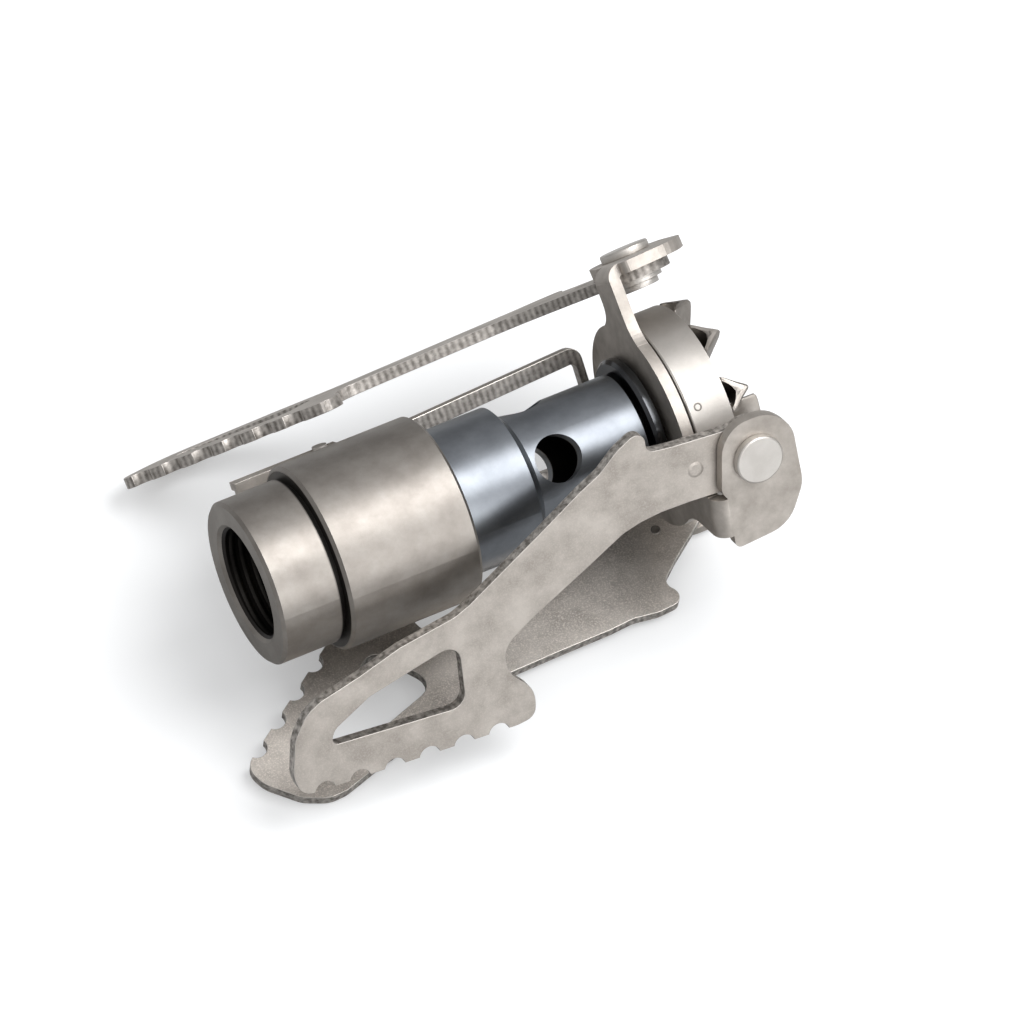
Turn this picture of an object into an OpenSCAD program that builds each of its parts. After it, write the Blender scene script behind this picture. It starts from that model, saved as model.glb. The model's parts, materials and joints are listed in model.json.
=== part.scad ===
// Folding canister-top gas burner, lying half folded on its side.
// The burner axis is level. The origin lies on it, where the canister thread begins.

/* [Valve body] */
// Radius of the valve body
body_r = 8.7; // [8.2:0.1:9.0]
// Length of the valve body behind its collar
body_len = 13; // [12:0.5:16]
// Radius of the threaded collar
collar_r = 7.7; // [7.2:0.1:8.0]
// Length of the threaded collar
collar_len = 5.75; // [5:0.25:7]
// Inside radius of the canister thread
thread_r = 5.07; // [5.02:0.01:5.12]
// Width of the chamfer in the mouth
mouth_chamfer = 0.55; // [0.3:0.05:0.8]

/* [Mixing tube] */
// Radius of the tube's stout foot
foot_r = 6.85; // [6.2:0.05:7.5]
// Length of the foot
foot_len = 6.9; // [5:0.1:8]
// Radius of the tube
tube_r = 5.53; // [5.1:0.05:6.0]
// Length of the tube from foot to neck
tube_len = 11.8; // [10:0.2:14]
// Diameter of each air hole
air_hole_d = 4.4; // [3:0.1:5]
// Number of air holes
air_holes = 4; // [3:1:5]

/* [Burner head] */
// Radius of the burner cup
cup_r = 9.6; // [9.0:0.1:9.9]
// Height of the burner cup
cup_h = 3.95; // [3.5:0.05:5]
// Height of the flame tabs over the rim
tab_rise = 2.8; // [1.5:0.1:3.2]
// Number of flame tabs
tabs = 10; // [6:1:11]

/* [Pot supports] */
// Length of an arm from its pivot to its tip
arm_len = 48; // [46:0.5:50]
// Thickness of an arm's sheet
arm_sheet = 1.05; // [0.8:0.05:1.1]
// Clear space between the burner cup and the tails of the rivets
tail_gap = 0.85; // [0.55:0.05:1.75]
// Thickness of the bracket's sheet
plate_sheet = 1.05; // [0.8:0.05:1.2]
// Width of an ear
ear_w = 11.9; // [11:0.1:12.5]
// Number of bites along an arm's toothed edge
teeth = 6; // [3:1:6]
// Radius of a rivet head
rivet_head_r = 2.3; // [1.8:0.1:2.6]

/* [Control handle] */
// Gap between the folded handle's end and the bracket
handle_gap = 0.4; // [0.3:0.1:4]
// Width of the handle's yoke
yoke_w = 11.75; // [10:0.25:12]
// Radius of the valve spindle
spindle_r = 1.5; // [1.2:0.1:1.8]

/* [Pose] */
// Swing of the first arm away from folded, in degrees
arm_1_swing = 0; // [-268:1:0]
// Swing of the second arm away from folded, in degrees
arm_2_swing = -43.5; // [-268:0.5:0]
// Swing of the third arm away from folded, in degrees
arm_3_swing = -30; // [-268:0.5:0]

/* [Hidden] */
$fn = 96;

// Clearances and small shared sizes
run_gap = 0.05;
face_gap = 0.1;
seat_gap = 0.03;
cut = 1;
edge_break = 0.3;
fine_break = 0.12;
corner_steps = 5;
round_steps = 8;

// Resting attitude: the burner's own frame has +Z along its axis, from mouth to head
rest_roll = 247.3;

// Stations along the burner axis, from the collar's face
groove_len = 0.5;
groove_depth = 0.5;
body_z = collar_len + groove_len;
foot_z = body_z + body_len;
thread_z = 3.4;
relief_len = 0.5;
relief_r = thread_r + 0.5;
thread_end_z = collar_len + groove_len / 2;
seal_seat_depth = 1.1;
seal_seat_r = 4.3;
seal_seat_z = thread_end_z + seal_seat_depth;
shoulder_len = 0.9;
shoulder_z = foot_z + foot_len;
tube_z = shoulder_z + shoulder_len;
neck_z = tube_z + tube_len - shoulder_len;
neck_r = 4.2;
neck_gap = 0.4;
ring_len = 0.95;
ring_r = 6.7;
ring_z = neck_z + neck_gap;
plate_gap = 0.5;
plate_z = ring_z + ring_len + plate_gap;
plate_top_z = plate_z + plate_sheet;
cup_gap = 0.2;
cup_z = plate_top_z + cup_gap;
cup_wall = 0.6;
neck_end_z = cup_z + cup_wall;
rim_z = cup_z + cup_h;

// Bore of the mixing tube and the jet that stands in it
tube_bore_r = 4.0;
neck_bore_r = 3.4;
jet_r = 1.6;
jet_head_r = 2.3;
jet_head_len = 1.6;
jet_len = 8.6;
jet_seat_depth = 3;
jet_hole_r = 0.25;
gas_way_r = 0.7;
air_hole_share = 0.57;
air_hole_z = tube_z + air_hole_d * air_hole_share;
air_hole_turn = 55.5;

// Probe pin that opens the canister's valve, and the seal round it
probe_r = 0.8;
probe_foot_r = 2.2;
probe_foot_len = 0.6;
probe_len = 3.6;
seal_cord_r = 0.85;
filter_r = 1.9;
filter_len = 0.5;

// What is stacked at each pivot, outwards from the rivet's tail: tail, washer, arm, then ear
rivet_tail_h = 0.55;
washer_h = 0.4;
tail_in = cup_r + tail_gap;
washer_in = tail_in + rivet_tail_h;
washer_out = washer_in + washer_h;
arm_in = washer_out + face_gap / 2;
ear_reach = arm_in + arm_sheet + face_gap;

// Bracket plate with its three ears; the second is bent a little further out than the others
arm_angles = [0, -120, 120];
ear_leans = [0, 2.4, 0];
ear_shift = 0.9;
ear_shifts = [0, ear_shift, 0];
plate_r = 9.6;
pivot_side = -1.41;
pivot_rise = 3.7;
pivot_z = plate_top_z + pivot_rise;
foot_from = 1.6;
foot_to = 5.6;
foot_from_round = 2;
foot_to_round = 4;
bend_in_r = 0.3;
bend_relief = 0.04;
bend_out_r = bend_in_r + plate_sheet;
bend_at = ear_reach - bend_in_r;
bend_z = plate_top_z + bend_in_r;
ear_out = ear_reach + plate_sheet;
ear_round = 3.2;
ear_shares = [
    [0.185, -0.325], [-0.193, -0.262], [-0.334, -0.130], [-0.334, 0.150],
    [-0.150, 0.325], [0.360, 0.335], [0.668, 0.170], [0.700, -0.285]
];

// Pot support arm, drawn from its pivot: first number along it, second across it
arm_eye_r = 3.4;
arm_round = 3;
arm_edge_shares = [
    [0, -0.064], [0.054, -0.065], [0.150, -0.074], [0.205, -0.083], [0.202, -0.117],
    [0.222, -0.130], [0.262, -0.110], [0.302, -0.078], [0.346, -0.057], [0.440, -0.004],
    [0.600, 0.083], [0.633, 0.096], [0.750, 0.113], [0.835, 0.138], [0.921, 0.158],
    [0.953, 0.174], [0.983, 0.217], [1.000, 0.290], [0.990, 0.338], [0.550, 0.371],
    [0.512, 0.367], [0.503, 0.310], [0.551, 0.255], [0.550, 0.200], [0.490, 0.165],
    [0.388, 0.117], [0.354, 0.101], [0.278, 0.064], [0.240, 0.055], [0.195, 0.051],
    [0.136, 0.053], [0.075, 0.058], [0, 0.070]
];
window_shares = [
    [0.634, 0.148], [0.643, 0.287], [0.917, 0.257], [0.904, 0.227], [0.825, 0.188]
];
window_round = 1.4;
tooth_line_shares = [[0.550, 0.371], [0.990, 0.338]];
tooth_first_share = 0.589;
tooth_pitch_share = 0.0712;
bite_r = 1.02;
bite_lift = 0.22;

// Rivet and washer at each pivot
rivet_r = 1.25;
rivet_head_h = 0.75;
rivet_tail_r = 1.9;
washer_r = 2.4;

// Flame cap: a plate inside the cup, with a crown of hollow tabs that open outwards over the rim
cap_gap = 0.1;
cap_r = cup_r - cup_wall - cap_gap;
cap_h = 1.2;
cap_z = rim_z + cap_gap - cap_h;
cap_bore_r = 2.6;
tab_sheet = 0.35;
tab_turn = -32;
tab_in = 3.2;
tab_w = 3.6;
tab_narrow_share = 0.2;
flat_tab_turn = -9;
flat_tab_w = 5.4;
flat_tab_at = 8.2;

// Control valve: spindle square to the burner axis, on the side that faces away
spindle_turn = 160;
spindle_back = 3.35;
spindle_z = body_z + spindle_back;
spindle_tip = 1.7;
spindle_tip_len = 1.2;
nut_r = 2.95;
nut_depth = 1.5;
nut_sink = 0.25;
nut_floor = body_r - nut_depth;
nut_top = body_r - nut_sink;
spanner_hole_r = 0.35;
spanner_hole_at = 2.3;
spindle_seal_r = 2.5;
spindle_seal_len = 0.9;
yoke_sheet = 0.75;
yoke_gap = 0.35;
yoke_floor = body_r + yoke_gap;
yoke_rise = 1.5;
yoke_shift = 0.87;
tenon_r = 1.0;
tenon_head_r = 1.8;
tenon_head_h = 0.3;
pin_r = 0.45;
pin_ahead = 3.8;
pin_above = 0.73;
pin_z = spindle_z + pin_ahead;
pin_at = yoke_floor + pin_above;
pin_head = 0.3;
pin_head_r = 0.7;
eye_r = 0.8;
eye_gap = 0.25;
yoke_behind = 5;
yoke_past = 1.6;
yoke_from = spindle_z - yoke_behind;
yoke_to = pin_z + yoke_past;
leg_w = 1.5;
cross_w = 0.8;
leg_depth = 1.1;
leg_in = pin_at - leg_depth / 2;
leg_flare = 1.15;
far_flare_share = 0.2;
leg_straight = 1.9;
loop_round = 1.2;
loop_in_round = 0.5;
handle_len = plate_z - pin_z - handle_gap;

// Corners flatter than this, in degrees from straight, stay as they are
flat_corner = 3;

function unit(v) = v / norm(v);

// Points of a round corner at q, between its neighbours p and s
function corner(p, q, s, r) =
    let (
        u = unit(p - q),
        v = unit(s - q),
        half = acos(max(-1, min(1, u * v))) / 2,
        room = min(norm(p - q), norm(s - q)) / 2
    )
    half > 90 - flat_corner ? [q] :
    let (
        reach = min(r / tan(half), room),
        turn_r = reach * tan(half),
        middle = q + unit(u + v) * turn_r / sin(half),
        start = q + u * reach - middle,
        finish = q + v * reach - middle,
        from = atan2(start[1], start[0]),
        sweep = (atan2(finish[1], finish[0]) - from + 540) % 360 - 180
    )
    [for (k = [0:corner_steps])
        middle + turn_r * [cos(from + sweep * k / corner_steps), sin(from + sweep * k / corner_steps)]];

// A closed outline with every corner rounded
function rounded(points, r) =
    let (n = len(points))
    [for (i = [0:n - 1]) each corner(points[(i + n - 1) % n], points[i], points[(i + 1) % n], r)];

// Lays the burner down from its own upright frame
module at_rest() {
    translate([-mouth_chamfer, 0, 0]) rotate([0, 90, 0]) rotate([0, 0, rest_roll]) children();
}

// A turned piece, from its list of radius and height
module turned(profile) {
    rotate_extrude() polygon(profile);
}

// Turns children from pointing along Z to pointing outwards along X
module outwards() {
    rotate([0, 90, 0]) children();
}

// Extrudes an outline drawn in side and height, outwards from a distance
module standing(from, thick) {
    translate([from, 0, 0]) rotate([90, 0, 90]) linear_extrude(thick) children();
}

// Goes to one arm's pivot direction
module at_arm(i) {
    rotate([0, 0, arm_angles[i]]) children();
}

module valve_body() {
    color("#b5aea6") at_rest() difference() {
        turned([
            [0, 0],
            [collar_r - edge_break, 0],
            [collar_r, edge_break],
            [collar_r, collar_len],
            [collar_r - groove_depth, collar_len],
            [collar_r - groove_depth, body_z],
            [body_r - edge_break, body_z],
            [body_r, body_z + edge_break],
            [body_r, foot_z - edge_break],
            [body_r - edge_break, foot_z],
            [0, foot_z]
        ]);
        turned([
            [0, -cut],
            [thread_r + mouth_chamfer + cut, -cut],
            [thread_r, mouth_chamfer],
            [thread_r, thread_z],
            [relief_r, thread_z],
            [relief_r, thread_z + relief_len],
            [thread_r, thread_z + relief_len],
            [thread_r, thread_end_z],
            [seal_seat_r, thread_end_z],
            [seal_seat_r, seal_seat_z],
            [0, seal_seat_z]
        ]);
        cylinder(h = foot_z, r = gas_way_r);
        translate([0, 0, foot_z - jet_seat_depth]) cylinder(h = jet_seat_depth + cut, r = jet_r + seat_gap);
        translate([0, 0, spindle_z]) rotate([0, 0, spindle_turn]) outwards() {
            cylinder(h = body_r + cut, r = spindle_r + run_gap);
            translate([0, 0, nut_floor - spindle_seal_len])
                cylinder(h = body_r, r = spindle_seal_r + seat_gap);
            translate([0, 0, nut_floor]) cylinder(h = body_r, r = nut_r + seat_gap);
        }
    }
}

module probe_pin() {
    color("#c9b37a") at_rest() translate([0, 0, seal_seat_z - probe_foot_len]) difference() {
        union() {
            cylinder(h = probe_foot_len, r = probe_foot_r);
            translate([0, 0, probe_foot_len - probe_len]) cylinder(h = probe_len, r = probe_r);
        }
        translate([0, 0, -probe_len]) cylinder(h = probe_len * 2, r = probe_r / 2);
    }
}

module canister_seal() {
    color("#1d1d1d") at_rest() translate([0, 0, seal_seat_z - seal_cord_r])
        rotate_extrude() translate([seal_seat_r - seal_cord_r, 0]) circle(r = seal_cord_r - seat_gap);
}

module inlet_filter() {
    color("#9a8f78") at_rest() translate([0, 0, seal_seat_z - probe_foot_len - filter_len])
        difference() {
            cylinder(h = filter_len, r = filter_r);
            translate([0, 0, -cut]) cylinder(h = filter_len + cut * 2, r = probe_r + seat_gap);
        }
}

module jet() {
    color("#c8b06a") at_rest() translate([0, 0, foot_z - jet_seat_depth]) difference() {
        union() {
            cylinder(h = jet_len, r = jet_r);
            translate([0, 0, jet_seat_depth]) cylinder(h = jet_head_len, r = jet_head_r, $fn = 6);
        }
        translate([0, 0, -cut]) cylinder(h = jet_len - jet_head_len + cut, r = gas_way_r);
        cylinder(h = jet_len + cut, r = jet_hole_r);
    }
}

module mixing_tube() {
    color("#3f454d") at_rest() difference() {
        turned([
            [0, foot_z],
            [foot_r, foot_z],
            [foot_r, shoulder_z],
            [tube_r, tube_z],
            [tube_r, neck_z],
            [neck_r, neck_z],
            [neck_r, neck_end_z],
            [0, neck_end_z]
        ]);
        translate([0, 0, foot_z - cut]) cylinder(h = neck_z - foot_z, r = tube_bore_r);
        translate([0, 0, foot_z]) cylinder(h = neck_end_z, r = neck_bore_r);
        for (i = [0:air_holes - 1])
            translate([0, 0, air_hole_z]) rotate([0, 0, air_hole_turn + i * 360 / air_holes])
                outwards() cylinder(h = foot_r + cut, d = air_hole_d);
    }
}

module neck_ring() {
    color("#4a4f57") at_rest() translate([0, 0, ring_z]) difference() {
        turned([
            [0, 0],
            [ring_r - edge_break, 0],
            [ring_r, edge_break],
            [ring_r, ring_len],
            [0, ring_len]
        ]);
        translate([0, 0, -cut]) cylinder(h = ring_len + cut * 2, r = neck_r + seat_gap);
    }
}

// Goes to one ear as it stands, bent out about its bend
module at_ear(i) {
    at_arm(i) translate([ear_shifts[i] + bend_at, 0, bend_z]) rotate([0, ear_leans[i], 0])
        translate([-bend_at, 0, -bend_z]) children();
}

// Points of the round that leads from a foot's edge into the plate's rim
function foot_round(edge, r) =
    let (
        middle = [sqrt(pow(plate_r + r, 2) - pow(edge + r, 2)), edge + r],
        end = atan2(-middle[1], -middle[0])
    )
    [for (k = [0:round_steps - 1]) middle + r * unit([
        cos(-90 + (end + 90) * k / round_steps),
        sin(-90 + (end + 90) * k / round_steps)
    ])];

// Plan of one foot, from the plate out to its bend
module foot_plan(i) {
    far_side = foot_round(foot_to, foot_to_round);
    near_side = [for (p = foot_round(-foot_from, foot_from_round)) [p[0], -p[1]]];
    polygon(concat(
        [[0, foot_to]],
        [for (k = [1:round_steps]) far_side[round_steps - k]],
        [[bend_at + ear_shifts[i], foot_to], [bend_at + ear_shifts[i], foot_from]],
        near_side,
        [[0, foot_from]]
    ));
}

// The bend between a foot and its ear, relieved a little at both ends
module bend(i) {
    translate([bend_at + ear_shifts[i], foot_from + bend_relief, bend_z]) rotate([-90, 0, 0]) difference() {
        cylinder(h = foot_to - foot_from - bend_relief * 2, r = bend_out_r);
        translate([0, 0, -cut]) cylinder(h = foot_to - foot_from + cut * 2, r = bend_in_r);
        translate([-bend_out_r - cut, -bend_out_r - cut, -cut])
            cube([bend_out_r + cut, (bend_out_r + cut) * 2, foot_to - foot_from + cut * 2]);
        rotate([0, 0, ear_leans[i]]) translate([-bend_out_r - cut, -bend_out_r - cut, -cut])
            cube([(bend_out_r + cut) * 2, bend_out_r + cut, foot_to - foot_from + cut * 2]);
    }
}

// Outline of an ear, drawn from its pivot in side and height, standing on its bend
module ear_outline() {
    foot = [[foot_to - pivot_side, bend_z - pivot_z], [foot_from - pivot_side, bend_z - pivot_z]];
    line = concat(ear_shares * ear_w, foot);
    n = len(line);
    polygon([for (i = [0:n - 1]) each i >= len(ear_shares)
        ? [line[i]]
        : corner(line[(i + n - 1) % n], line[i], line[(i + 1) % n], ear_round)]);
}

module bracket() {
    color("#a39d96") at_rest() difference() {
        union() {
            translate([0, 0, plate_z]) linear_extrude(plate_sheet) {
                circle(r = plate_r);
                for (i = [0:2]) at_arm(i) foot_plan(i);
            }
            for (i = [0:2]) {
                at_arm(i) bend(i);
                at_ear(i) translate([0, pivot_side, pivot_z]) standing(ear_reach, plate_sheet) ear_outline();
            }
        }
        translate([0, 0, plate_z - cut]) cylinder(h = plate_sheet + cut * 2, r = neck_r + seat_gap);
        for (i = [0:2]) at_ear(i) translate([ear_reach - cut, pivot_side, pivot_z])
            outwards() cylinder(h = plate_sheet + cut * 2, r = rivet_r + seat_gap);
    }
}

module burner_cup() {
    color("#b8b2a9") at_rest() difference() {
        turned([
            [0, cup_z],
            [cup_r - fine_break, cup_z],
            [cup_r, cup_z + fine_break],
            [cup_r, rim_z],
            [cup_r - cup_wall, rim_z],
            [cup_r - cup_wall, cup_z + cup_wall],
            [0, cup_z + cup_wall]
        ]);
        translate([0, 0, cup_z - cut]) cylinder(h = cup_wall + cut * 2, r = neck_r + seat_gap);
    }
}

// A solid roof whose ridge climbs outwards: how wide and high its near and far ends are
module roof(from, to, near, far) {
    polyhedron(
        points = [
            [from, -near[0] / 2, 0], [from, near[0] / 2, 0], [from, 0, near[1]],
            [to, -far[0] / 2, 0], [to, far[0] / 2, 0], [to, 0, far[1]]
        ],
        faces = [[0, 1, 2], [5, 4, 3], [0, 3, 4, 1], [1, 4, 5, 2], [2, 5, 3, 0]]
    );
}

// One hollow tab, open at its outer end
module flame_tab() {
    far = [tab_w, tab_rise];
    near = far * tab_narrow_share;
    room = far - [tab_sheet * 2, tab_sheet * 2];
    difference() {
        roof(tab_in, cup_r, near, far);
        translate([tab_sheet, 0, -fine_break])
            roof(tab_in, cup_r, near * tab_narrow_share, room);
    }
}

module burner_cap() {
    color("#a9a29a") at_rest() translate([0, 0, cap_z]) difference() {
        union() {
            cylinder(h = cap_h, r = cap_r);
            for (i = [0:tabs - 1]) rotate([0, 0, tab_turn + i * 360 / tabs])
                translate([0, 0, cap_h - fine_break]) flame_tab();
            rotate([0, 0, flat_tab_turn]) translate([flat_tab_at, -flat_tab_w / 2, cap_h - fine_break])
                cube([tab_sheet, flat_tab_w, tab_rise + fine_break]);
        }
        translate([0, 0, -cut]) cylinder(h = cap_h + cut * 2, r = cap_bore_r);
    }
}

// Outline of an arm in its own frame
module arm_outline() {
    tooth_line = tooth_line_shares * arm_len;
    along = unit(tooth_line[1] - tooth_line[0]);
    outer = [-along[1], along[0]];
    difference() {
        union() {
            polygon(rounded(arm_edge_shares * arm_len, arm_round));
            circle(r = arm_eye_r);
        }
        polygon(rounded(window_shares * arm_len, window_round));
        for (k = [0:teeth - 1]) {
            run = (tooth_first_share + k * tooth_pitch_share) * arm_len - tooth_line[0][0];
            translate(tooth_line[0] + along * run + outer * bite_lift) circle(r = bite_r, $fn = 32);
        }
    }
}

// One arm, swung away from folded
module arm(i, swing) {
    at_rest() at_ear(i) translate([arm_in, pivot_side, pivot_z]) rotate([swing, 0, 0]) outwards()
        difference() {
            linear_extrude(arm_sheet) arm_outline();
            translate([0, 0, -cut]) cylinder(h = arm_sheet + cut * 2, r = rivet_r + run_gap);
        }
}

module arm_1() {
    color("#aaa49c") arm(0, arm_1_swing);
}

module arm_2() {
    color("#aaa49c") arm(1, arm_2_swing);
}

module arm_3() {
    color("#a09a92") arm(2, arm_3_swing);
}

// One rivet, from its tail behind the washer to its head on the ear
module rivet(i) {
    color("#b3ada5") at_rest() at_ear(i) translate([0, pivot_side, pivot_z]) outwards() {
        translate([0, 0, tail_in]) cylinder(h = ear_out - tail_in, r = rivet_r);
        translate([0, 0, tail_in]) cylinder(h = rivet_tail_h, r = rivet_tail_r);
        translate([0, 0, ear_out]) turned([
            [0, 0],
            [rivet_head_r, 0],
            [rivet_head_r, rivet_head_h - fine_break],
            [rivet_head_r - fine_break, rivet_head_h],
            [0, rivet_head_h]
        ]);
    }
}

// One washer, between a rivet's tail and the arm
module washer(i) {
    color("#8f8a84") at_rest() at_ear(i) translate([washer_in, pivot_side, pivot_z]) outwards()
        difference() {
            cylinder(h = washer_h, r = washer_r);
            translate([0, 0, -cut]) cylinder(h = washer_h + cut * 2, r = rivet_r + seat_gap);
        }
}

// Goes to the spindle's axis, with X outwards along it
module at_spindle() {
    at_rest() rotate([0, 0, spindle_turn]) children();
}

module gland_nut() {
    color("#c8b06a") at_spindle() translate([nut_floor, 0, spindle_z]) outwards() difference() {
        cylinder(h = nut_top - nut_floor, r = nut_r);
        translate([0, 0, -cut]) cylinder(h = nut_top, r = spindle_r + run_gap);
        for (side = [-1, 1]) translate([0, side * spanner_hole_at, (nut_top - nut_floor) / 2])
            cylinder(h = nut_top, r = spanner_hole_r);
    }
}

module spindle_seal() {
    color("#1d1d1d") at_spindle() translate([nut_floor - spindle_seal_len, 0, spindle_z]) outwards()
        difference() {
            cylinder(h = spindle_seal_len - seat_gap, r = spindle_seal_r);
            translate([0, 0, -cut]) cylinder(h = spindle_seal_len + cut * 2, r = spindle_r + run_gap);
        }
}

module valve_spindle() {
    color("#bdb7ae") at_spindle() translate([0, 0, spindle_z]) outwards() {
        translate([0, 0, spindle_tip]) cylinder(h = spindle_tip_len, r1 = gas_way_r, r2 = spindle_r);
        translate([0, 0, spindle_tip + spindle_tip_len])
            cylinder(h = yoke_floor - spindle_tip - spindle_tip_len, r = spindle_r);
        translate([0, 0, yoke_floor]) cylinder(h = yoke_sheet, r = tenon_r);
        translate([0, 0, yoke_floor + yoke_sheet]) cylinder(h = tenon_head_h, r = tenon_head_r);
    }
}

module handle_yoke() {
    yoke_top = yoke_floor + yoke_rise;
    color("#aaa49c") at_spindle() difference() {
        union() {
            translate([yoke_floor, yoke_shift - yoke_w / 2, yoke_from])
                cube([yoke_sheet, yoke_w, pin_z - eye_r - eye_gap - yoke_from]);
            for (side = [0, 1])
                translate([yoke_floor, yoke_shift - yoke_w / 2 + side * (yoke_w - yoke_sheet), yoke_from])
                    cube([yoke_rise, yoke_sheet, yoke_to - yoke_from]);
        }
        translate([yoke_floor - cut, 0, spindle_z]) outwards()
            cylinder(h = yoke_sheet + cut * 2, r = tenon_r + seat_gap);
        translate([pin_at, yoke_shift, pin_z]) rotate([90, 0, 0])
            cylinder(h = yoke_w + cut * 2, r = pin_r + seat_gap, center = true);
    }
}

module handle_pin() {
    color("#b3ada5") at_spindle() translate([pin_at, yoke_shift, pin_z]) rotate([90, 0, 0]) {
        cylinder(h = yoke_w, r = pin_r, center = true);
        for (side = [-1, 1]) translate([0, 0, side * (yoke_w + pin_head) / 2])
            cylinder(h = pin_head, r = pin_head_r, center = true);
    }
}

// Outline of the handle's loop, drawn in side and height from its pin
module handle_outline() {
    inner = yoke_w / 2 - yoke_sheet - face_gap;
    outer_line = [
        [-inner, 0],
        [-inner, leg_straight],
        [-inner - leg_flare * far_flare_share, handle_len],
        [inner + leg_flare, handle_len],
        [inner, leg_straight],
        [inner, 0]
    ];
    inner_line = [
        [-inner + leg_w, -cut],
        [-inner + leg_w, leg_straight],
        [-inner - leg_flare * far_flare_share + leg_w, handle_len - cross_w],
        [inner + leg_flare - leg_w, handle_len - cross_w],
        [inner - leg_w, leg_straight],
        [inner - leg_w, -cut]
    ];
    difference() {
        polygon([for (i = [0:5]) each (i == 2 || i == 3
            ? corner(outer_line[i - 1], outer_line[i], outer_line[i + 1], loop_round)
            : [outer_line[i]])]);
        polygon([for (i = [0:5]) each (i == 2 || i == 3
            ? corner(inner_line[i - 1], inner_line[i], inner_line[i + 1], loop_in_round)
            : [inner_line[i]])]);
    }
}

module handle() {
    inner = yoke_w / 2 - yoke_sheet - face_gap;
    color("#aaa49c") at_spindle() translate([0, yoke_shift, pin_z]) difference() {
        union() {
            standing(leg_in, leg_depth) handle_outline();
            for (side = [-1, 1]) translate([pin_at, side * (inner - leg_w / 2), 0]) rotate([90, 0, 0])
                cylinder(h = leg_w, r = eye_r, center = true);
        }
        translate([pin_at, 0, 0]) rotate([90, 0, 0])
            cylinder(h = yoke_w, r = pin_r + run_gap, center = true);
    }
}

valve_body();
probe_pin();
canister_seal();
inlet_filter();
jet();
mixing_tube();
neck_ring();
bracket();
burner_cup();
burner_cap();
arm_1();
arm_2();
arm_3();
rivet(0);  // rivet_1
rivet(1);  // rivet_2
rivet(2);  // rivet_3
washer(0);  // washer_1
washer(1);  // washer_2
washer(2);  // washer_3
gland_nut();
spindle_seal();
valve_spindle();
handle_yoke();
handle_pin();
handle();
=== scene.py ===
import json
import math

import bpy
from mathutils import Matrix, Vector


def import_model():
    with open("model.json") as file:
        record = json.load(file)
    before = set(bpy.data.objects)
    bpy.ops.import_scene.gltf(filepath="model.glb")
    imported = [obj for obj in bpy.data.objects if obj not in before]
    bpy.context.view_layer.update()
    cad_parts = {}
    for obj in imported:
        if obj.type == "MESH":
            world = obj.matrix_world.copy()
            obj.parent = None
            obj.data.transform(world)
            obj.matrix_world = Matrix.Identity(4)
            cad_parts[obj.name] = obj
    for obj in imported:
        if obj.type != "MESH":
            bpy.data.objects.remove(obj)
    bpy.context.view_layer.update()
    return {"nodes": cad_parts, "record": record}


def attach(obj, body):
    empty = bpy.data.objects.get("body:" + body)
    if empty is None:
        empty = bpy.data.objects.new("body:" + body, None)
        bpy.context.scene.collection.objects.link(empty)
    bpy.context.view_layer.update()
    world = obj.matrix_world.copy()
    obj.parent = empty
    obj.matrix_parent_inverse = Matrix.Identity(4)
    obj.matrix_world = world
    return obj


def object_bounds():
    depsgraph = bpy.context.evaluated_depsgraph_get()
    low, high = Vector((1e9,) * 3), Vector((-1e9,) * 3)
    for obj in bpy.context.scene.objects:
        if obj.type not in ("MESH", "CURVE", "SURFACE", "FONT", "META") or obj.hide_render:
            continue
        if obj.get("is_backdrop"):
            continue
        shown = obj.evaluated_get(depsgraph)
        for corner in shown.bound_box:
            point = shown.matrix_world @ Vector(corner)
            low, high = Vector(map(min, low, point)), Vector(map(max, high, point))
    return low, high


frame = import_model()

MM = 0.001

# The burner's own frame is in millimetres, with +Z along its axis from mouth to head, and +X through
# support 1. In the row frame it lies down along +X, in metres, rolled as it is photographed.
ROLL = math.radians(247.3)
MOUTH_CHAMFER = 0.55 * MM
TO_ROW = (
    Matrix.Translation((-MOUTH_CHAMFER, 0, 0))
    @ Matrix.Rotation(math.radians(90), 4, "Y")
    @ Matrix.Rotation(ROLL, 4, "Z")
)

# Each pot support: its body and its arm's node, the turn of its ear about the burner's axis and the ear's
# lean, its swing at rest, how far its ear is shifted out, and how much its cut edge is streaked and its
# face speckled. Angles are in degrees.
SUPPORTS = (
    dict(
        body="support_1", node="arm_1", turn=0, lean=0.0, swing=0.0, shift=0.0,
        streaks=0.25, specks=0.3,
    ),
    dict(
        body="support_2", node="arm_2", turn=-120, lean=2.4, swing=-43.5, shift=0.9,
        streaks=1.0, specks=0.3,
    ),
    dict(
        body="support_3", node="arm_3", turn=120, lean=0.0, swing=-30.0, shift=0.0,
        streaks=0.25, specks=0.9,
    ),
)
PIVOT_SIDE, PIVOT_Z = -1.41, 44.55
# Where an ear is bent up from the bracket's plate, and leans from
BEND_R, BEND_Z = 12.3, 41.15
# The inner and the outer face of an arm, from the burner's axis
ARM_IN, ARM_OUT = 11.45, 12.5
HANDLE_TURN = math.radians(250)
# How far along its axis the burner's middle is
MIDDLE_Z = 22

# Near-black painted shade for the bore and for the groove behind the collar
PAINTED_RECESS_SHADE = (0.035, 0.032, 0.03)
SHEET_DARK = (0.395, 0.363, 0.331)
SHEET_LIGHT = (0.57, 0.532, 0.492)
EDGE_DARK = (0.24, 0.222, 0.204)
EDGE_LIGHT = (0.62, 0.585, 0.55)
SPECK_GAIN = 1.35

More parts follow.
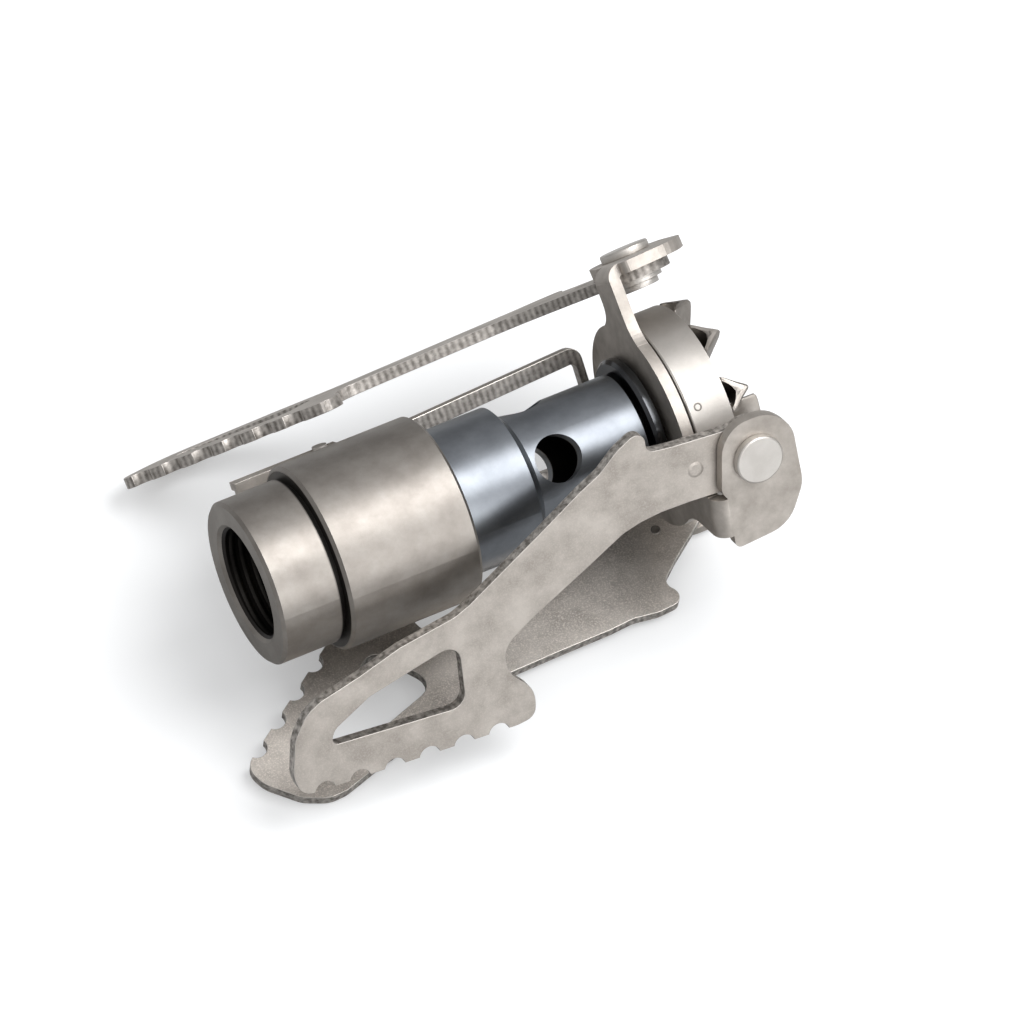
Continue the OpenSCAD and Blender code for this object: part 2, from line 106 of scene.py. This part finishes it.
# Noise scales are in turns per metre, and the noise's own roughness goes with them
METAL_BLOTCH = 330.0
SHEET_BLOTCH = 280.0
BLOTCH_DETAIL, BLOTCH_ROUGHNESS = 5.0, 0.62
SHEET_SPECK, SPECK_DETAIL = 7000.0, 2.0
STREAK_NOISE, STREAK_DETAIL, STREAK_ROUGHNESS = 1900.0, 2.0, 0.6
GRAIN_DETAIL = 3.0
CLOUD = [(0.34, 0.0), (0.66, 1.0)]
SPECK_FROM, SPECK_TO = 0.45, 0.75
BUMP_DEPTH = 0.03 * MM
SHEET_BUMP = 0.4
SHEET_SPREAD = 0.1
SHEET_ROUGHNESS = 0.55
HANDLE_ROUGHNESS = 0.5

STREAK_PITCH = 0.6 * MM
STREAK_MIDDLE = 0.52
STREAK_DEPTH = 0.16
STREAK_FADE = 0.12
STREAK_RISE = 0.3
# How square a face stands to the sheet where its cut edge begins and ends
CUT_EDGE = [(0.25, 1.0), (0.45, 0.0)]

# The painted shade in the groove behind the collar: its place along the axis, its radius, and its fade to
# both sides
GROOVE_AT = 5.45 * MM
GROOVE_R = 8.3
GROOVE_FADE = [(0.2, 1.0), (0.4, 0.0)]

WELD_REACH = 0.002 * MM
FLAT_ANGLE = math.radians(0.4)
SHARP_ANGLE = math.radians(38)
BEVEL_SEGMENTS = 2
NORMALS_WEIGHT = 100
CREASE_CUTS, CREASE_ROUNDINGS = 2, 1
# The width of each softened node's lighter edges, partly worn and partly a painted highlight
EDGE_WEAR_AND_HIGHLIGHT_WIDTHS = {
    "arm_1": 0.1, "arm_2": 0.1, "arm_3": 0.1, "bracket": 0.1, "handle": 0.06, "handle_yoke": 0.06,
    "rivet_1": 0.06, "rivet_2": 0.06, "rivet_3": 0.06, "burner_cup": 0.22,
}

# The round mark pressed in each arm, along and across it from its pivot. It stands less proud than the
# 0.1 mm gap to the ear, which it passes under as the support swings out.
MARK_ALONG, MARK_ACROSS = 5.49, -0.41
MARK_STEPS = 28
DIMPLE_R = 0.85
DIMPLE_H = 0.1
DIMPLE_RINGS = 11
# The share of its radius that is flat, and how far its rim lies under the sheet's face
DIMPLE_FLAT = 0.6
DIMPLE_SUNK = 0.01
# The pit behind it: radius and height of a shallow dish with a lip just proud of the sheet, coloured dark as
# painted shade
PIT_PROFILE = [(0.0, 0.012), (0.16, 0.015), (0.26, 0.03), (0.34, 0.07), (0.4, 0.05), (0.48, -0.01)]

# The first turns of the canister's thread, as a ridge on the bore. The ridge's section is given by its
# radius and by its rise as a share of the pitch.
THREAD_FROM = 0.72
THREAD_PITCH = 0.907
THREAD_WALL = 5.1
THREAD_CREST = 4.97
THREAD_TURNS = 3
THREAD_STEPS = 64
THREAD_FADE_STEPS = 24
THREAD_FOOT, THREAD_TOP = 0.4, 0.06

# The small ring stamped in the side of the cup, a low ridge coloured dark as painted shade
CUP_R = 9.6
STAMP_TURN = math.radians(328.3)
STAMP_Z = 42.05
STAMP_R = 0.31
STAMP_WIRE_R = 0.075
STAMP_RISE = 0.03
STAMP_STEPS, STAMP_WIRE_STEPS = 28, 8

FLOOR_SIZE = 6
FLOOR_GREY = (0.22, 0.22, 0.22, 1)
FLOOR_PALE = (0.6, 0.61, 0.62, 1)
# The floor's glow rises between these distances from the burner's middle, so that the floor near the burner
# is darker: painted shade around it
GLOW_FROM, GLOW_TO = 0.015, 0.055
GLOW_NEAR, GLOW_FAR = 0.3, 0.5
# The share of the pale floor that metal mirrors: in the photograph the shaded sides are darker than under
# the whole of it
FLOOR_IN_METAL = 0.3
SKY = [(0.0, 0.3), (0.35, 0.42), (0.9, 0.85)]
WHITE = (1, 1, 1, 1)

# Each lamp's place from the burner's middle, its size and its power
LAMPS = (
    ("key", (0.24, -0.14, 0.52), 0.42, 2.7),
    ("side", (0.15, -0.6, 0.25), 0.5, 1.7),
)

# The photograph's camera, in the burner's own frame
CAMERA_PLACE = (709.67, -466.59, -242.0)
CAMERA_FORWARD = (-0.79526, 0.52666, 0.30032)
CAMERA_RIGHT = (0.43787, 0.15636, 0.88534)
FOCAL_PIXELS = 10000
PICTURE_PIXELS = 1024
SENSOR_WIDTH = 36
CLIP_NEAR, CLIP_FAR = 0.01, 10


def row_point(x, y, z):
    """A point of the burner's frame in the row frame."""
    return TO_ROW @ (Vector((x, y, z)) * MM)


def row_direction(x, y, z):
    """A direction of the burner's frame in the row frame."""
    return TO_ROW.to_3x3() @ Vector((x, y, z))


MIDDLE = row_point(0, 0, MIDDLE_Z)


def node_tree(name):
    """A new material and its emptied node tree."""
    material = bpy.data.materials.new(name)
    material.use_nodes = True
    tree = material.node_tree
    tree.nodes.clear()
    return material, tree


def add(tree, kind, inputs=None, **settings):
    """Adds a node, sets its properties, and fills or links its inputs."""
    node = tree.nodes.new(kind)
    for key, value in settings.items():
        setattr(node, key, value)
    for key, value in (inputs or {}).items():
        socket = node.inputs[key]
        if isinstance(value, bpy.types.NodeSocket):
            tree.links.new(value, socket)
        else:
            socket.default_value = value
    return node


def reckon(tree, operation, *values, kind="ShaderNodeMath"):
    """What a Math node, or a Vector Math node, makes of its values."""
    return add(tree, kind, dict(enumerate(values)), operation=operation).outputs["Value"]


def measure(tree, operation, *values):
    """The number that a Vector Math node makes of its values."""
    return reckon(tree, operation, *values, kind="ShaderNodeVectorMath")


def mixed(tree, factor, a, b, kind="RGBA"):
    """A mix of two colours or, with kind FLOAT, of two numbers."""
    return add(
        tree, "ShaderNodeMix", {"Factor": factor, "A": a, "B": b}, data_type=kind
    ).outputs["Result"]


def noise(tree, where, scale, detail, roughness=0.5):
    """Soft noise from nought to one."""
    return add(
        tree, "ShaderNodeTexNoise",
        {"Vector": where, "Scale": scale, "Detail": detail, "Roughness": roughness},
    ).outputs["Fac"]


def ramp(tree, value, stops):
    """A colour ramp with the given stops of position and grey or colour."""
    node = add(tree, "ShaderNodeValToRGB", {"Fac": value})
    elements = node.color_ramp.elements
    while len(elements) < len(stops):
        elements.new(0.5)
    for element, (position, colour) in zip(elements, stops):
        element.position = position
        grey = isinstance(colour, (int, float))
        element.color = (colour, colour, colour, 1) if grey else (*colour, 1)
    return node.outputs["Color"]


def around(tree, value, middle, spread):
    """A value from nought to one, brought within a spread of a middle."""
    return add(
        tree, "ShaderNodeMapRange", {"Value": value, "To Min": middle - spread, "To Max": middle + spread}
    ).outputs["Result"]


def clouds(tree, where, scale, dark, light):
    """Soft blotches between a dark and a light colour."""
    blotch = noise(tree, where, scale, BLOTCH_DETAIL, BLOTCH_ROUGHNESS)
    return mixed(tree, ramp(tree, blotch, CLOUD), (*dark, 1), (*light, 1))


def within(tree, where, radius_mm):
    """One within a radius of the burner's axis, nought outside it."""
    parts = add(tree, "ShaderNodeSeparateXYZ", {"Vector": where})
    across = add(tree, "ShaderNodeCombineXYZ", {"Y": parts.outputs["Y"], "Z": parts.outputs["Z"]})
    return reckon(tree, "LESS_THAN", measure(tree, "LENGTH", across.outputs["Vector"]), radius_mm * MM)


def groove_shade(tree, where):
    """One in the groove behind the collar, where shade is painted, nought away from it."""
    along = add(tree, "ShaderNodeSeparateXYZ", {"Vector": where}).outputs["X"]
    apart = reckon(tree, "ABSOLUTE", reckon(tree, "SUBTRACT", along, GROOVE_AT))
    near = ramp(tree, reckon(tree, "DIVIDE", apart, MM), GROOVE_FADE)
    return reckon(tree, "MULTIPLY", near, within(tree, where, GROOVE_R))


def surface(tree, colour, roughness, height, bump, metallic=1.0):
    """The material's shader, with a fine bump."""
    relief = add(tree, "ShaderNodeBump", {"Height": height, "Strength": bump, "Distance": BUMP_DEPTH})
    shader = add(
        tree, "ShaderNodeBsdfPrincipled",
        {
            "Base Color": colour, "Metallic": metallic, "Roughness": roughness,
            "Normal": relief.outputs["Normal"],
        },
    )
    add(tree, "ShaderNodeOutputMaterial", {"Surface": shader.outputs["BSDF"]})


def metal(
    name, dark, light, roughness, grain_mm, bump, spread=0.08, metallic=1.0, shaded_bore_mm=0.0, shaded_groove=False
):
    """A blasted or turned surface: blotchy colour and fine grain, with painted shade in its bore and groove.
    """
    material, tree = node_tree(name)
    where = add(tree, "ShaderNodeTexCoord").outputs["Object"]
    grain = noise(tree, where, 1000.0 / grain_mm, GRAIN_DETAIL)
    colour = clouds(tree, where, METAL_BLOTCH, dark, light)
    if shaded_bore_mm:
        # Painted shade: the inside of the bore is coloured near-black
        colour = mixed(tree, within(tree, where, shaded_bore_mm), colour, (*PAINTED_RECESS_SHADE, 1))
    if shaded_groove:
        # Painted shade: the groove behind the collar is coloured near-black
        colour = mixed(tree, groove_shade(tree, where), colour, (*PAINTED_RECESS_SHADE, 1))
    surface(tree, colour, around(tree, grain, roughness, spread), grain, bump, metallic)
    return material


def sheet_metal(name, roughness, across, along, streaks, specks=0.3):
    """A blasted sheet whose cut edges carry the cutter's streaks; across is its normal, along its length."""
    material, tree = node_tree(name)
    coords = add(tree, "ShaderNodeTexCoord")
    where = coords.outputs["Object"]
    speck = noise(tree, where, SHEET_SPECK, SPECK_DETAIL)
    face = mixed(
        tree, ramp(tree, speck, [(SPECK_FROM, 0.0), (SPECK_TO, specks)]),
        clouds(tree, where, SHEET_BLOTCH, SHEET_DARK, SHEET_LIGHT),
        (*[min(1, SPECK_GAIN * c) for c in SHEET_LIGHT], 1),
    )
    square_on = reckon(tree, "ABSOLUTE", measure(tree, "DOT_PRODUCT", coords.outputs["Normal"], across))
    on_edge = ramp(tree, square_on, CUT_EDGE)
    beat = reckon(tree, "DIVIDE", measure(tree, "DOT_PRODUCT", where, along), STREAK_PITCH)
    wave = reckon(tree, "SINE", reckon(tree, "MULTIPLY", beat, 2 * math.pi))
    uneven = noise(tree, where, STREAK_NOISE, STREAK_DETAIL, STREAK_ROUGHNESS)
    streak = reckon(tree, "MULTIPLY_ADD", wave, STREAK_DEPTH * streaks, uneven)
    middle = STREAK_MIDDLE - STREAK_DEPTH * streaks
    edge = ramp(tree, streak, [
        (middle - STREAK_FADE, EDGE_DARK), (middle + STREAK_RISE * streaks + STREAK_FADE, EDGE_LIGHT),
    ])
    surface(
        tree, mixed(tree, on_edge, face, edge), around(tree, speck, roughness, SHEET_SPREAD),
        mixed(tree, on_edge, speck, streak, kind="FLOAT"), SHEET_BUMP,
    )
    return material


SHEET = metal("blasted_sheet", SHEET_DARK, SHEET_LIGHT, SHEET_ROUGHNESS, 0.14, 0.35)
EDGE_WEAR_AND_HIGHLIGHT = metal("edge_wear_and_highlight", (0.50, 0.47, 0.44), (0.62, 0.59, 0.555), 0.42, 0.12, 0.1)
BODY = metal(
    "anodised_body", (0.249, 0.228, 0.208), (0.325, 0.303, 0.279), 0.44, 0.12, 0.15,
    shaded_bore_mm=5.3, shaded_groove=True,
)
TUBE = metal(
    "blued_tube", (0.165, 0.177, 0.195), (0.215, 0.23, 0.25), 0.36, 0.14, 0.01,
    spread=0.015, shaded_bore_mm=4.2,
)
BLACKED = metal("blacked_ring", (0.06, 0.062, 0.066), (0.09, 0.093, 0.098), 0.16, 0.14, 0.04, spread=0.04)
BRIGHT = metal("bright_cup", (0.43, 0.406, 0.38), (0.51, 0.485, 0.458), 0.52, 0.12, 0.2)
TINTED = metal("heat_tinted", (0.3, 0.272, 0.245), (0.46, 0.43, 0.4), 0.42, 0.12, 0.2)
RIVET = metal("rivet_steel", (0.61, 0.585, 0.553), (0.7, 0.675, 0.643), 0.5, 0.1, 0.2)
# Dark colour of painted shade, for the pits and the cup's stamped ring
PAINTED_PIT_SHADE = metal("pit_and_stamp_painted_shade", (0.16, 0.148, 0.135), (0.24, 0.224, 0.205), 0.5, 0.14, 0.2)
# Near-black: the bore's painted shade, carried onto the thread's ridge
SHADED_THREAD = metal("thread_painted_shade", (0.02, 0.0185, 0.0175), (0.04, 0.037, 0.034), 0.45, 0.14, 0.2)
BRASS = metal("brass", (0.62, 0.50, 0.30), (0.72, 0.60, 0.38), 0.3, 0.08, 0.2)
RUBBER = metal("rubber", (0.02, 0.02, 0.02), (0.035, 0.035, 0.035), 0.6, 0.1, 0.3, metallic=0.0)

FINISH = {
    "anodised_body": BODY, "blued_tube": TUBE, "sheet_steel": SHEET, "bright_cup": BRIGHT,
    "rivet_steel": RIVET, "brass": BRASS, "rubber": RUBBER,
}


def arm_sheet(support):
    """The sheet of one arm, with the directions across and along it as it rests."""
    turn, lean, swing = (math.radians(support[key]) for key in ("turn", "lean", "swing"))
    across = row_direction(math.cos(lean) * math.cos(turn), math.cos(lean) * math.sin(turn), -math.sin(lean))
    along = row_direction(
        -math.sin(turn) * math.sin(swing), math.cos(turn) * math.sin(swing), -math.cos(swing)
    )
    return sheet_metal(
        "sheet_" + support["node"], SHEET_ROUGHNESS, across, along, support["streaks"], support["specks"]
    )


def clean(piece):
    """Joins the facets of a CAD mesh into whole flat faces, which shade evenly."""
    weld = piece.modifiers.new("weld", "WELD")
    weld.merge_threshold = WELD_REACH
    flats = piece.modifiers.new("flats", "DECIMATE")
    flats.decimate_type = "DISSOLVE"
    flats.angle_limit = FLAT_ANGLE


def soften(piece, width_mm):
    """Breaks the sharp edges of a CAD node, as tumbling does, and colours them lighter, partly as wear and
    partly as a painted highlight.
    """
    clean(piece)
    bevel = piece.modifiers.new("bevel", "BEVEL")
    bevel.width = width_mm * MM
    bevel.segments = BEVEL_SEGMENTS
    bevel.limit_method = "ANGLE"
    bevel.angle_limit = SHARP_ANGLE
    # Lighter edges: partly wear, partly a painted highlight on the rims
    piece.data.materials.append(EDGE_WEAR_AND_HIGHLIGHT)
    bevel.material = 1
    normals = piece.modifiers.new("normals", "WEIGHTED_NORMAL")
    normals.keep_sharp = True
    normals.weight = NORMALS_WEIGHT


def fold(piece):
    """Rounds the creases of folded sheet a little; the plain cuts made first hold the folds in place."""
    clean(piece)
    finer = piece.modifiers.new("finer", "SUBSURF")
    finer.subdivision_type = "SIMPLE"
    finer.levels = finer.render_levels = CREASE_CUTS
    bent = piece.modifiers.new("bent", "SUBSURF")
    bent.levels = bent.render_levels = CREASE_ROUNDINGS


def bands(rows, steps, closed=False):
    """The quads between rows of points that each run round a ring; closed joins the last row to the first."""
    return [
        (
            row * steps + k, row * steps + (k + 1) % steps,
            (row + 1) % rows * steps + (k + 1) % steps, (row + 1) % rows * steps + k,
        )
        for row in range(rows if closed else rows - 1) for k in range(steps)
    ]


def piece_of(name, points, faces, body, material, slot_name):
    """A new smooth piece, from points of the burner's frame, that rides on a body."""
    mesh = bpy.data.meshes.new(name)
    mesh.from_pydata([row_point(*p) for p in points], [], faces)
    mesh.polygons.foreach_set("use_smooth", [True] * len(mesh.polygons))
    mesh.materials.append(material)
    piece = bpy.data.objects.new(name, mesh)
    bpy.context.scene.collection.objects.link(piece)
    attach(piece, body)


def on_support(support, radius, along, across):
    """A point of a support's sheet as it rests, along and across it from its pivot, in the burner's frame."""
    turn, lean, swing = (math.radians(support[key]) for key in ("turn", "lean", "swing"))
    side = PIVOT_SIDE + across * math.cos(swing) + along * math.sin(swing)
    z = PIVOT_Z + across * math.sin(swing) - along * math.cos(swing)
    out, up = radius - BEND_R, z - BEND_Z
    radius = BEND_R + out * math.cos(lean) + up * math.sin(lean) + support["shift"]
    z = BEND_Z - out * math.sin(lean) + up * math.cos(lean)
    return (
        radius * math.cos(turn) - side * math.sin(turn), radius * math.sin(turn) + side * math.cos(turn), z
    )


def pressed(support, face, profile):
    """The points and faces of a round mark in a support, from its radii and heights above the face."""
    points = [
        on_support(
            support, face + height,
            MARK_ALONG + r * math.cos(2 * math.pi * k / MARK_STEPS),
            MARK_ACROSS + r * math.sin(2 * math.pi * k / MARK_STEPS),
        )
        for r, height in profile for k in range(MARK_STEPS)
    ]
    return points, bands(len(profile), MARK_STEPS)


def dimple_profile():
    """Radii and heights of the dimple: flat on top, with a rounded fall to just below the sheet's face."""
    profile = []
    for ring in range(DIMPLE_RINGS):
        share = ring / (DIMPLE_RINGS - 1)
        fall = max(0.0, (share - DIMPLE_FLAT) / (1 - DIMPLE_FLAT))
        profile.append((DIMPLE_R * share, DIMPLE_H * (0.5 + 0.5 * math.cos(math.pi * fall)) - DIMPLE_SUNK))
    return profile


def thread_ridge():
    """The points and faces of the thread's ridge, which rises from the bore and sinks into it again."""
    points, faces = [], []
    last = THREAD_TURNS * THREAD_STEPS
    for k in range(last + 1):
        a = 2 * math.pi * k / THREAD_STEPS
        z = THREAD_FROM + THREAD_PITCH * k / THREAD_STEPS
        fade = min(1.0, k / THREAD_FADE_STEPS, (last - k) / THREAD_FADE_STEPS)
        crest = THREAD_WALL - (THREAD_WALL - THREAD_CREST) * fade
        section = (
            (THREAD_WALL, -THREAD_FOOT), (crest, -THREAD_TOP),
            (crest, THREAD_TOP), (THREAD_WALL, THREAD_FOOT),
        )
        for radius, rise in section:
            points.append((radius * math.cos(a), radius * math.sin(a), z + rise * THREAD_PITCH))
        if k:
            n = len(section) * k
            faces += [(n - 4 + j, n - 3 + j, n + 1 + j, n + j) for j in range(len(section) - 1)]
    return points, faces


def stamped_ring():
    """The points and faces of the ring stamped in the cup, wrapped on the cup's side."""
    points = []
    for k in range(STAMP_STEPS):
        a = 2 * math.pi * k / STAMP_STEPS
        for j in range(STAMP_WIRE_STEPS):
            c = 2 * math.pi * j / STAMP_WIRE_STEPS
            ring = STAMP_R + STAMP_WIRE_R * math.cos(c)
            turn = STAMP_TURN + ring * math.cos(a) / CUP_R
            radius = CUP_R + STAMP_RISE * math.sin(c)
            points.append((radius * math.cos(turn), radius * math.sin(turn), STAMP_Z + ring * math.sin(a)))
    return points, bands(STAMP_STEPS, STAMP_WIRE_STEPS, closed=True)


def shown(tree, in_metal):
    """One for rays that show the pale background: the camera's, glass's and, as far as given, metal's."""
    rays = add(tree, "ShaderNodeLightPath").outputs
    direct = reckon(tree, "MAXIMUM", rays["Is Camera Ray"], rays["Is Transmission Ray"])
    return reckon(tree, "MAXIMUM", direct, reckon(tree, "MULTIPLY", rays["Is Glossy Ray"], in_metal))


def floor():
    """A floor that the camera sees white, with the object's shadow on it and painted shade near the burner's
    middle; it lights the object as grey.
    """
    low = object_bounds()[0].z
    bpy.ops.mesh.primitive_plane_add(size=FLOOR_SIZE, location=(0, 0, low))
    plane = bpy.context.object
    plane.name = "floor"
    material, tree = node_tree("paper_floor")
    grey = add(tree, "ShaderNodeBsdfDiffuse", {"Color": FLOOR_GREY})
    pale = add(tree, "ShaderNodeBsdfDiffuse", {"Color": FLOOR_PALE})
    where = add(tree, "ShaderNodeTexCoord").outputs["Object"]
    # Less glow near the burner's middle: painted shade around it
    brightness = add(
        tree, "ShaderNodeMapRange",
        {
            "Value": measure(tree, "DISTANCE", where, MIDDLE), "From Min": GLOW_FROM, "From Max": GLOW_TO,
            "To Min": GLOW_NEAR, "To Max": GLOW_FAR,
        },
    )
    glow = add(tree, "ShaderNodeEmission", {"Color": WHITE, "Strength": brightness.outputs["Result"]})
    paper = add(tree, "ShaderNodeAddShader", {0: pale.outputs["BSDF"], 1: glow.outputs["Emission"]})
    mix = add(
        tree, "ShaderNodeMixShader",
        {0: shown(tree, FLOOR_IN_METAL), 1: grey.outputs["BSDF"], 2: paper.outputs["Shader"]},
    )
    add(tree, "ShaderNodeOutputMaterial", {"Surface": mix.outputs["Shader"]})
    plane.data.materials.append(material)
    plane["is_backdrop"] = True


def world():
    """A studio that is bright overhead and dims towards the horizon; the camera sees it white."""
    made = bpy.data.worlds.new("studio")
    made.use_nodes = True
    tree = made.node_tree
    tree.nodes.clear()
    seen = add(tree, "ShaderNodeLightPath").outputs["Is Camera Ray"]
    direction = add(tree, "ShaderNodeTexCoord").outputs["Generated"]
    height = add(tree, "ShaderNodeSeparateXYZ", {"Vector": direction}).outputs["Z"]
    colour = mixed(tree, seen, ramp(tree, height, SKY), WHITE)
    back = add(tree, "ShaderNodeBackground", {"Color": colour, "Strength": 1.0})
    add(tree, "ShaderNodeOutputWorld", {"Surface": back.outputs["Background"]})
    bpy.context.scene.world = made


def camera():
    """The photograph's camera."""
    data = bpy.data.cameras.new("camera")
    data.sensor_width = SENSOR_WIDTH
    data.lens = FOCAL_PIXELS / PICTURE_PIXELS * data.sensor_width
    data.clip_start = CLIP_NEAR
    data.clip_end = CLIP_FAR
    back = -row_direction(*CAMERA_FORWARD).normalized()
    up = back.cross(row_direction(*CAMERA_RIGHT).normalized())
    turned = Matrix((up.cross(back), up, back)).transposed().to_4x4()
    made = bpy.data.objects.new("camera", data)
    bpy.context.scene.collection.objects.link(made)
    made.matrix_world = Matrix.Translation(row_point(*CAMERA_PLACE)) @ turned
    bpy.context.scene.camera = made


def lamp(name, offset, size, watts):
    """A soft area lamp at an offset from the burner's middle, aimed at it."""
    data = bpy.data.lights.new(name, "AREA")
    data.shape = "DISK"
    data.size = size
    data.energy = watts
    made = bpy.data.objects.new(name, data)
    bpy.context.scene.collection.objects.link(made)
    made.location = MIDDLE + Vector(offset)
    made.rotation_mode = "QUATERNION"
    made.rotation_quaternion = (MIDDLE - made.location).to_track_quat("-Z", "Y")


nodes = frame["nodes"]
for part in frame["record"]["subparts"]:
    piece = nodes[part["node"]]
    piece.data.materials.clear()
    piece.data.materials.append(FINISH[part["material_slot"]])
for support in SUPPORTS:
    nodes[support["node"]].data.materials[0] = arm_sheet(support)
nodes["handle"].data.materials[0] = sheet_metal(
    "sheet_handle", HANDLE_ROUGHNESS, row_direction(math.cos(HANDLE_TURN), math.sin(HANDLE_TURN), 0),
    Vector((1, 0, 0)), streaks=1.0,
)
nodes["neck_ring"].data.materials[0] = BLACKED
nodes["burner_cap"].data.materials[0] = TINTED
for name, width_mm in EDGE_WEAR_AND_HIGHLIGHT_WIDTHS.items():
    soften(nodes[name], width_mm)
fold(nodes["burner_cap"])

for number, support in enumerate(SUPPORTS, 1):
    sheet = nodes[support["node"]].data.materials[0]
    dimple = pressed(support, ARM_OUT, dimple_profile())
    piece_of("dimple_%d" % number, *dimple, support["body"], sheet, "sheet_steel")
    pit = pressed(support, ARM_IN, [(r, -height) for r, height in PIT_PROFILE])
    piece_of("pit_%d" % number, *pit, support["body"], PAINTED_PIT_SHADE, "sheet_steel")
piece_of("canister_thread", *thread_ridge(), "burner", SHADED_THREAD, "anodised_body")
piece_of("cup_mark", *stamped_ring(), "burner", PAINTED_PIT_SHADE, "bright_cup")

floor()
world()
camera()
for settings in LAMPS:
    lamp(*settings)

bpy.context.scene.view_settings.view_transform = "Standard"
